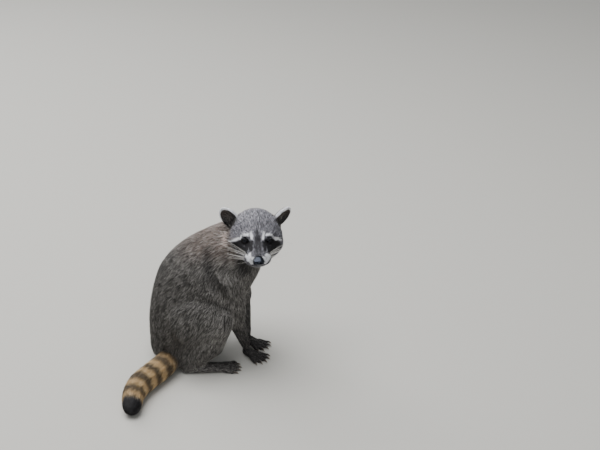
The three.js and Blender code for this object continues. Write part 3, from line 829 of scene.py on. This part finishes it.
    rows = np.argmax(np.stack([at(values) for values in ofIt]), axis=0)
    corner = np.array([[0, -1], [-1, -0.2], [1, -0.2], [0, 0], [0, 1]]) * tuft["patch"] / 2
    uv = (unrolled(root, rows, zonesOfIt)[:, None] + corner).reshape(-1, 2)
    loops = np.empty(len(mesh.loops), np.int32)
    mesh.loops.foreach_get("vertex_index", loops)
    mesh.uv_layers.new(name="OFBake").data.foreach_set("uv", uv[loops].astype(np.float32).ravel())
    mesh.materials.append(material)
    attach(piece, "root")
    print(name + ":", count, "tufts of", int(chance.sum()))
    return piece


def linear(colour):  # an sRGB hex value as linear red, green, blue and alpha
    c = np.array([int(colour[i:i + 2], 16) for i in (1, 3, 5)]) / 255
    return (*np.where(c <= 0.04045, c / 12.92, ((c + 0.055) / 1.055) ** 2.4), 1.0)


def newMaterial(name):
    material = bpy.data.materials.new(name)
    material.use_nodes = True
    return material, material.node_tree.nodes["Principled BSDF"]


def node(material, kind, links=(), **settings):
    # Adds a node. A setting named for an input sets it, any other is the node's own, and links run from
    # sockets to its inputs.
    made = material.node_tree.nodes.new(kind)
    for key, value in settings.items():
        if hasattr(made, key):
            setattr(made, key, value)
        else:
            made.inputs[key].default_value = value
    for source, target in dict(links).items() if isinstance(links, dict) else links:
        material.node_tree.links.new(source, made.inputs[target])
    return made


def ramp(material, source, stops):  # a colour for each place along a value
    made = node(material, "ShaderNodeValToRGB", [(source, 0)])
    elements = made.color_ramp.elements
    while len(elements) < len(stops):
        elements.new(0.5)
    for element, (place, colour) in zip(elements, stops):
        element.position = place
        element.color = linear(colour)
    return made.outputs["Color"]


def mixed(material, share, a, b):
    made = node(material, "ShaderNodeMix", data_type="RGBA")
    for source, index in ((share, 0), (a, 6), (b, 7)):
        material.node_tree.links.new(source, made.inputs[index])
    return made.outputs[2]


# Guard hair and underfur of a raccoon: each hair is dark at its root, banded paler above, and dark again or
# pale at its tip, which makes the grizzled look. Stops run from root to tip.
coatColours = {
    "grey": [(0.0, "#161515"), (0.4, "#2b2928"), (0.72, "#595654"), (1.0, "#3b3938")],
    "light": [(0.0, "#292727"), (0.4, "#5a5653"), (0.75, "#b3afaa"), (1.0, "#d5d1cc")],
    "ash": [(0.0, "#1b1b1e"), (0.4, "#37363b"), (0.72, "#6b6a70"), (1.0, "#504f56")],
    "silver": [(0.0, "#303034"), (0.4, "#6a6970"), (0.75, "#bcbbc3"), (1.0, "#d9d8de")],
    "dark": [(0.0, "#0c0c0d"), (0.5, "#161517"), (1.0, "#29272a")],
    "pale": [(0.0, "#b4b4ba"), (0.4, "#ececf1"), (1.0, "#fdfdff")],
    "brown": [(0.0, "#2c231f"), (0.45, "#5a4a43"), (0.8, "#947d73"), (1.0, "#a99689")],
    "golden": [(0.0, "#4d3a24"), (0.4, "#93744b"), (0.75, "#c6a576"), (1.0, "#e4cfa6")],
}


def coatMaterial(name, roughness):
    material, surface = newMaterial(name)
    part = lambda attribute: node(material, "ShaderNodeAttribute", attribute_name=attribute).outputs
    split = lambda vector: node(material, "ShaderNodeSeparateXYZ", [(vector, 0)]).outputs
    along, shade = part("along")["Fac"], part("shade")["Fac"]
    dark, pale, brown = split(part("marksAndPaintedShade")["Vector"])
    light, cool, golden = split(part("paintedLightAndTones")["Vector"])
    ramps = {key: ramp(material, along, stops) for key, stops in coatColours.items()}
    lighter = node(material, "ShaderNodeMapRange", [(shade, 0)], **{"From Min": 0.4, "From Max": 1.0})
    warmGrey = mixed(material, lighter.outputs[0], ramps["grey"], ramps["light"])
    coolGrey = mixed(material, lighter.outputs[0], ramps["ash"], ramps["silver"])
    colour = mixed(material, cool, warmGrey, coolGrey)
    for share, key in ((brown, "brown"), (golden, "golden")):
        colour = mixed(material, share, colour, ramps[key])
    # The painted light and shade scale the coat's colour, before the pale and dark hair is mixed in
    colour = node(material, "ShaderNodeHueSaturation", [(light, "Value"), (colour, "Color")]).outputs[0]
    for share, key in ((pale, "pale"), (dark, "dark")):
        colour = mixed(material, share, colour, ramps[key])
    # hairs differ a little in how light they are
    value = node(material, "ShaderNodeMapRange", [(shade, 0)], **{"To Min": 0.66, "To Max": 1.3}).outputs[0]
    final = node(material, "ShaderNodeHueSaturation", [(value, "Value"), (colour, "Color")])
    material.node_tree.links.new(final.outputs[0], surface.inputs["Base Color"])
    surface.inputs["Roughness"].default_value = roughness
    surface.inputs["Specular IOR Level"].default_value = 0.25
    return material, surface


camera = {"at": [10, -1827.3, 1195], "pitch": 26.741, "yaw": 5.692, "lens": 66}
eyePoint = bpy.data.objects.new("camera", bpy.data.cameras.new("camera"))
bpy.context.collection.objects.link(eyePoint)
eyePoint.location = (np.array(camera["at"]) + shift) * mm
eyePoint.rotation_euler = (radians(90 - camera["pitch"]), 0, radians(-camera["yaw"]))
eyePoint.data.lens = camera["lens"]
eyePoint.data.sensor_width = 36
eyePoint.data.clip_end = 50
bpy.context.scene.camera = eyePoint

softBoxes = {  # where from, its size in metres and its power in watts
    "top": {"at": (-0.6, 0.1, 3.0), "size": 2.4, "power": 126},
    "fill": {"at": (0.6, -3.0, 1.8), "size": 2.4, "power": 16},
    "catch": {"at": (0.45, -2.6, 0.55), "size": 0.3, "power": 6},  # shows in the eyes
    "back": {"at": (-1.5, 2.3, 1.9), "size": 2.0, "power": 54},
}
for name, box in softBoxes.items():
    lamp = bpy.data.objects.new(name, bpy.data.lights.new(name, "AREA"))
    bpy.context.collection.objects.link(lamp)
    lamp.data.energy, lamp.data.size = box["power"], box["size"]
    lamp.location = box["at"]
    way = Vector((0, 0, 0.15)) - Vector(box["at"])
    lamp.rotation_euler = way.to_track_quat("-Z", "Y").to_euler()

world = bpy.data.worlds.new("studio")
bpy.context.scene.world = world
world.use_nodes = True
world.node_tree.nodes["Background"].inputs["Color"].default_value = linear("#dfe3e6")
world.node_tree.nodes["Background"].inputs["Strength"].default_value = 0.43

floor = newPiece("floor", np.array([[-3e4, -3e4, 0], [3e4, -3e4, 0], [3e4, 3e4, 0], [-3e4, 3e4, 0]]),
                 np.array([[0, 1, 2, 3]]))
floorPaint, floorSurface = newMaterial("painted floor")
floorSurface.inputs["Base Color"].default_value = linear("#bfbdb7")
floorSurface.inputs["Roughness"].default_value = 0.85
floor.data.materials.append(floorPaint)
print("stage set")

# Dry skin under woolly underfur, nearly without shine
skinMaterial, skinSurface = coatMaterial("raccoon skin with underfur", 0.75)
skin.data.materials.append(skinMaterial)
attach(skin, "root")
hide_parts(*flesh)

# Guard hair shines a little along its length, and the short hair of the face hardly at all
bodyCoat, _ = coatMaterial("raccoon guard hair, grizzled", 0.62)
faceCoat, _ = coatMaterial("raccoon face hair, short", 0.75)
legCoat, _ = coatMaterial("raccoon leg hair, dark", 0.62)
tailCoat, _ = coatMaterial("raccoon tail hair, ringed", 0.65)

waist = 140  # how high the trunk's lower piece ends
leftOfHead = lambda p: inSkull(p)[:, 1] > 0
rightOfHead = lambda p: inSkull(p)[:, 1] <= 0
upperLeft = lambda p: (p[:, 2] > waist) & (p[:, 1] > shift[1])
upperRight = lambda p: (p[:, 2] > waist) & (p[:, 1] <= shift[1])
lower = lambda p: p[:, 2] <= waist
growCoat("coat_head_left", ["head"], faceCoat, leftOfHead)
growCoat("coat_head_right", ["head"], faceCoat, rightOfHead)
growCoat("coat_ears", bothSides("ear"), faceCoat)
growCoat("coat_trunk_left", ["spine"], bodyCoat, upperLeft)
growCoat("coat_trunk_right", ["spine"], bodyCoat, upperRight)
growCoat("coat_trunk_lower", ["spine"], bodyCoat, lower)
growCoat("coat_thighs", bothSides("thigh"), bodyCoat)
growCoat("coat_arms", bothSides("upper_arm"), bodyCoat)
growCoat("coat_shanks", bothSides("shank"), bodyCoat)
growCoat("coat_feet", bothSides("forearm", "forepaw", "hind_foot"), legCoat)
growCoat("coat_tail", ["tail"], tailCoat)
bpy.data.objects.remove(hullObject)


def roundBall(at, look, radius, rings=28, sides=40):
    # A sphere about the look direction: polar angle down the rows, azimuth round each
    polar = np.linspace(0, np.pi, rings)[1:-1, None]
    azimuth = np.arange(sides) * 2 * np.pi / sides
    side = unit(np.cross(look, [0, 0, 1.0]))
    up = np.cross(side, look)
    wall = (np.cos(polar)[..., None] * look + (np.sin(polar) * np.cos(azimuth))[..., None] * side
            + (np.sin(polar) * np.sin(azimuth))[..., None] * up)
    points = np.concatenate([wall.reshape(-1, 3), [look, -look]])
    angle = np.concatenate([np.repeat(polar[:, 0], sides), [0, np.pi]])
    bulge = 1 + 0.05 * (1 - fade(angle, 0.45, 0.75))  # the cornea stands out a little
    k = np.arange(sides)
    rows = rings - 2
    last = (rows - 1) * sides
    front = np.stack([k, np.full(sides, rows * sides), (k + 1) % sides], 1)
    rear = np.stack([last + (k + 1) % sides, np.full(sides, rows * sides + 1), last + k], 1)
    faces = [gridFaces(rows, sides), np.concatenate([front, rear])]
    return at + points * (radius * bulge)[:, None], faces, angle


# A wet eyeball: a very dark brown iris round a black pupil under a clear cornea, which gives a sharp, cool
# highlight
eyeMaterial, eyeSurface = newMaterial("wet eyeball")
fromAxis = node(eyeMaterial, "ShaderNodeAttribute", attribute_name="fromAxis").outputs["Fac"]
iris = ramp(eyeMaterial, fromAxis, [(0.0, "#020202"), (0.36, "#030202"), (0.44, "#0e0805"), (0.62, "#0a0604"),
                                    (0.72, "#040303"), (0.9, "#080606")])
eyeMaterial.node_tree.links.new(iris, eyeSurface.inputs["Base Color"])
eyeSurface.inputs["Roughness"].default_value = 0.05
eyeSurface.inputs["IOR"].default_value = 1.34  # the tear film's
eyeSurface.inputs["Specular IOR Level"].default_value = 0.5
eyeSurface.inputs["Specular Tint"].default_value = linear("#c9d6f2")
for side, sign in (("left", 1), ("right", -1)):
    look = eyeFrame(sign)[0] @ skullAxes
    points, faces, angle = roundBall(eyesAt[side], look, eye["radius"] - 0.2)
    ball = newPiece(f"eyeball_{side}", points, faces)
    store(ball.data, "fromAxis", angle)
    ball.data.materials.append(eyeMaterial)
    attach(ball, "root")
    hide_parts(f"eye_{side}")


def makeNose():
    # A sphere, squared a little and squeezed to the pad's half sizes. Each nostril is a dent that runs out
    # and back into a slit, and a groove runs down the middle.
    points, faces, _ = roundBall(np.zeros(3), np.array([1.0, 0, 0]), 1, 64, 96)
    p, square = unit(points), nosePad["square"]
    p = p / np.maximum((np.abs(p) ** square).sum(1) ** (1 / square), 1e-6)[:, None]
    halves = np.array(nosePad["halves"])
    place = p * halves
    z, top = place[:, 2].copy(), nosePad["halves"][2]
    place[:, 1] *= 1 - nosePad["narrowBelow"] * fade(-z, 1, 8) - nosePad["narrowAbove"] * fade(z, 0, top)
    place[:, 0] -= nosePad["slopeAbove"] * fade(z, 1.5, top) + nosePad["slopeBelow"] * fade(-z, 2, top)
    m = mirrored(place)
    nostril = chain(m, [(8.4, 3.6, 0.2, 1.5), (6.6, 6.4, -0.6, 1.1), (3.4, 8.6, -2.6, 0.5)], 1.6)
    groove = chain(m, [(9, 0, 2, 0.25), (8.6, 0, -9, 0.4)], 1.2)
    deep = nosePad["nostril"] * nostril + nosePad["groove"] * groove
    place = place - unit(p / halves) * deep[:, None]
    pad = newPiece("nose_pad", fromSkull(place + [nosePad["forward"], 0, nosePad["high"]]), faces)
    store(pad.data, "nostril", nostril)
    return pad


# Wet nose leather: nearly black skin of small cobbles, 0.8 mm across, under a film of moisture that gives a
# broad, cool shine
noseMaterial, noseSurface = newMaterial("wet nose leather")
coordinates = node(noseMaterial, "ShaderNodeTexCoord").outputs["Object"]
cobbles = node(noseMaterial, "ShaderNodeTexVoronoi", [(coordinates, "Vector")], Scale=1 / (0.8 * mm))
relief = node(noseMaterial, "ShaderNodeBump", [(cobbles.outputs["Distance"], "Height")],
              Strength=0.15, Distance=0.12 * mm).outputs[0]
inside = node(noseMaterial, "ShaderNodeAttribute", attribute_name="nostril").outputs["Fac"]
# Painted shade: the leather is darker still inside the nostrils' dents
leatherAndNostrilShade = ramp(noseMaterial, inside, [(0.0, "#0a0b0e"), (0.6, "#030303")])
noseMaterial.node_tree.links.new(leatherAndNostrilShade, noseSurface.inputs["Base Color"])
noseMaterial.node_tree.links.new(relief, noseSurface.inputs["Normal"])
noseSurface.inputs["Roughness"].default_value = 0.19
noseSurface.inputs["Specular IOR Level"].default_value = 0.42
noseSurface.inputs["Specular Tint"].default_value = linear("#c9d6f2")
nosePiece = makeNose()
nosePiece.data.materials.append(noseMaterial)
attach(nosePiece, "root")
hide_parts("nose")

# Claw horn: smooth keratin, dark at the root and greyer and more see-through to the tip, with a dull shine
clawMaterial, clawSurface = newMaterial("claw horn")
alongClaw = node(clawMaterial, "ShaderNodeAttribute", attribute_name="along").outputs["Fac"]
hornTone = ramp(clawMaterial, alongClaw, [(0.0, "#1d1815"), (0.5, "#3a322c"), (1.0, "#8a7f72")])
clawMaterial.node_tree.links.new(hornTone, clawSurface.inputs["Base Color"])
clawSurface.inputs["Roughness"].default_value = 0.38


def clawPaths(at, turn, size):
    # Five arcs in a paw's frame: each starts inside its digit's end, rises over it and comes down to a point
    place = np.arange(-2, 3)
    angle = np.radians(place * size["fan"])
    half = size["thick"] / 2
    start = size["digit"] * (1 - 0.07 * place**2) + half * 0.2
    t = np.linspace(0, 1, 9)
    along = start[:, None] + (size["claw"] + half * 0.9) * t
    x = size["long"] - half + along * np.cos(angle)[:, None]
    y = place[:, None] * size["wide"] * 0.2 + along * np.sin(angle)[:, None]
    z = half * 0.75 + 1.6 * np.sin(np.pi * (t * 0.85 + 0.12)) - 2.1 * t**2 + 0 * along
    paths = np.stack([x, y, z], -1) @ turned("z", turn).T + np.array([at[0], at[1], 0])
    radii = half * 0.56 * (1 - t**1.6) ** 0.8 + 0.12
    return paths, np.broadcast_to(radii, (5, 9))


def makeClaws(name, at, turn, size):
    paths, radii = clawPaths(at, turn, size)
    points, faces = tubes(paths, radii, 10, flat=1.25)
    claws = newPiece(name, points, faces)
    along = np.concatenate([np.repeat(np.linspace(0, 1, 9), 10), [0, 1]])
    store(claws.data, "along", np.tile(along, 5))
    claws.data.materials.append(clawMaterial)
    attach(claws, "root")


for side in ("left", "right"):
    makeClaws(f"claws_fore_{side}", forePoint("wrist", side), pawTurn[side], forepaw)
    makeClaws(f"claws_hind_{side}", hindPoint("heel", side), footTurn[side], hindFoot)

whiskers = {
    "rows": 4, "inRow": 4, "start": (71, 13.5, -4.5),  # the first one's root, in the skull's frame
    "back": 3.6, "out": 1.8, "down": 3.4,  # from each to the next, along a row and from row to row
    "turnedUp": 0.2, "less": 0.14,  # how steeply the top row rises, and how much less each row below it
    "long": 80, "radius": 0.2, "droop": 9,
}


def makeWhiskers():
    # Each runs out and back from the whisker pad in a shallow arc: start + way * t + droop * t squared
    row, column = (v.ravel() for v in np.meshgrid(np.arange(whiskers["rows"]), np.arange(whiskers["inRow"])))
    t = np.linspace(0, 1, 12)[:, None]
    paths = []
    for sign in (1, -1):
        jitter = rng.normal(size=(len(row), 3))
        x = whiskers["start"][0] - whiskers["back"] * column + 0.5 * jitter[:, 0]
        y = sign * (whiskers["start"][1] + whiskers["out"] * column)
        z = whiskers["start"][2] - whiskers["down"] * row + 0.5 * jitter[:, 1]
        start = np.stack([x, y, z], 1)
        turnedUp = whiskers["turnedUp"] - whiskers["less"] * row + 0.09 * jitter[:, 2]
        way = np.stack([-0.42 - 0.16 * column, sign * (1.0 + 0 * x), turnedUp], 1)
        long = whiskers["long"] * (0.5 + 0.17 * column) * rng.uniform(0.75, 1.1, len(row))
        sag = np.array([-14, 0, -whiskers["droop"]])
        paths.append(start[:, None] + (unit(way) * long[:, None])[:, None] * t + sag * t**2)
        # two more over each eye
        start = np.array([[34, sign * 26, 16.5], [32, sign * 30, 13.5]])
        way = unit(np.array([[-0.3, sign * 1.0, -0.55], [-0.5, sign * 1.0, -0.35]])) * [[58], [40]]
        paths.append(start[:, None] + way[:, None] * t + sag * t**2)
    paths = fromSkull(np.concatenate(paths))
    radii = whiskers["radius"] * (1 - 0.85 * t.ravel()) * np.ones((len(paths), 1))
    points, faces = tubes(paths, radii, 5)
    return newPiece("whiskers", points, faces)


# Whisker keratin: smooth and off-white, 0.4 mm at the root, a little thicker than in life so that it shows
whiskerMaterial, whiskerSurface = newMaterial("whisker keratin")
whiskerSurface.inputs["Base Color"].default_value = linear("#e6e3dd")
whiskerSurface.inputs["Roughness"].default_value = 0.4
whiskerPiece = makeWhiskers()
whiskerPiece.data.materials.append(whiskerMaterial)
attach(whiskerPiece, "root")
print("eyes, nose, claws and whiskers made")
